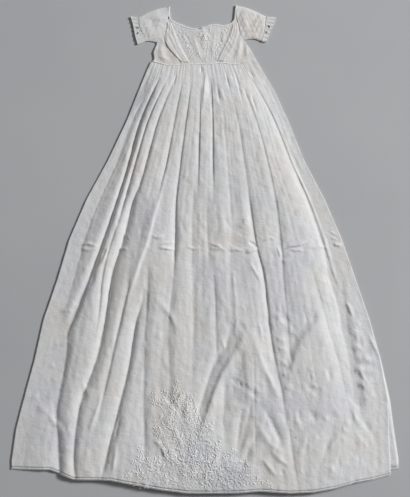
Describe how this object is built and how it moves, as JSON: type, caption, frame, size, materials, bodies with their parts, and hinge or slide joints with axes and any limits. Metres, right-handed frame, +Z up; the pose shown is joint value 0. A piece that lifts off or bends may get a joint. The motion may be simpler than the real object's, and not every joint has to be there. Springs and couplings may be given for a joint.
{
  "type": "christening gown",
  "caption": "Long white cotton baby gown laid flat on its back: short frilled sleeves, V-fronted bodice, piped high waist and a full gathered skirt with a whitework hem.",
  "frame": {"origin": "middle of the gown's outline, on the table that it lies on", "axes": "+Z up from the table, out of the gown's front; +Y from the hem to the shoulders; +X to the right of someone who looks down at the front"},
  "size_m": [0.814, 1.0272, 0.0102],
  "materials": {
    "cotton_lawn": "plain-woven fine cotton lawn, matt, soft white with a cool cast",
    "cotton_trim": "cotton piping, casing, worked frill and picot edging, matt white"
  },
  "bodies": {
    "root": {"skirt_back": "cotton_lawn", "skirt_front": "cotton_lawn", "bodice_back_left": "cotton_lawn", "bodice_back_right": "cotton_lawn", "bodice_side_left": "cotton_lawn", "bodice_side_right": "cotton_lawn", "bodice_band_left": "cotton_lawn", "bodice_insert": "cotton_lawn", "bodice_band_right": "cotton_lawn", "robing_left": "cotton_lawn", "robing_right": "cotton_lawn", "sleeve_left": "cotton_lawn", "sleeve_right": "cotton_lawn", "hem_edging_back": "cotton_trim", "hem_edging_front": "cotton_trim", "waist_piping_back": "cotton_trim", "waist_piping_front": "cotton_trim", "neck_casing_back": "cotton_trim", "neck_casing_front": "cotton_trim", "neck_tie_knot": "cotton_trim", "cuff_frill_left_front": "cotton_trim", "cuff_frill_right_front": "cotton_trim", "cuff_frill_left_back": "cotton_trim", "cuff_frill_right_back": "cotton_trim"}
  },
  "joints": []
}
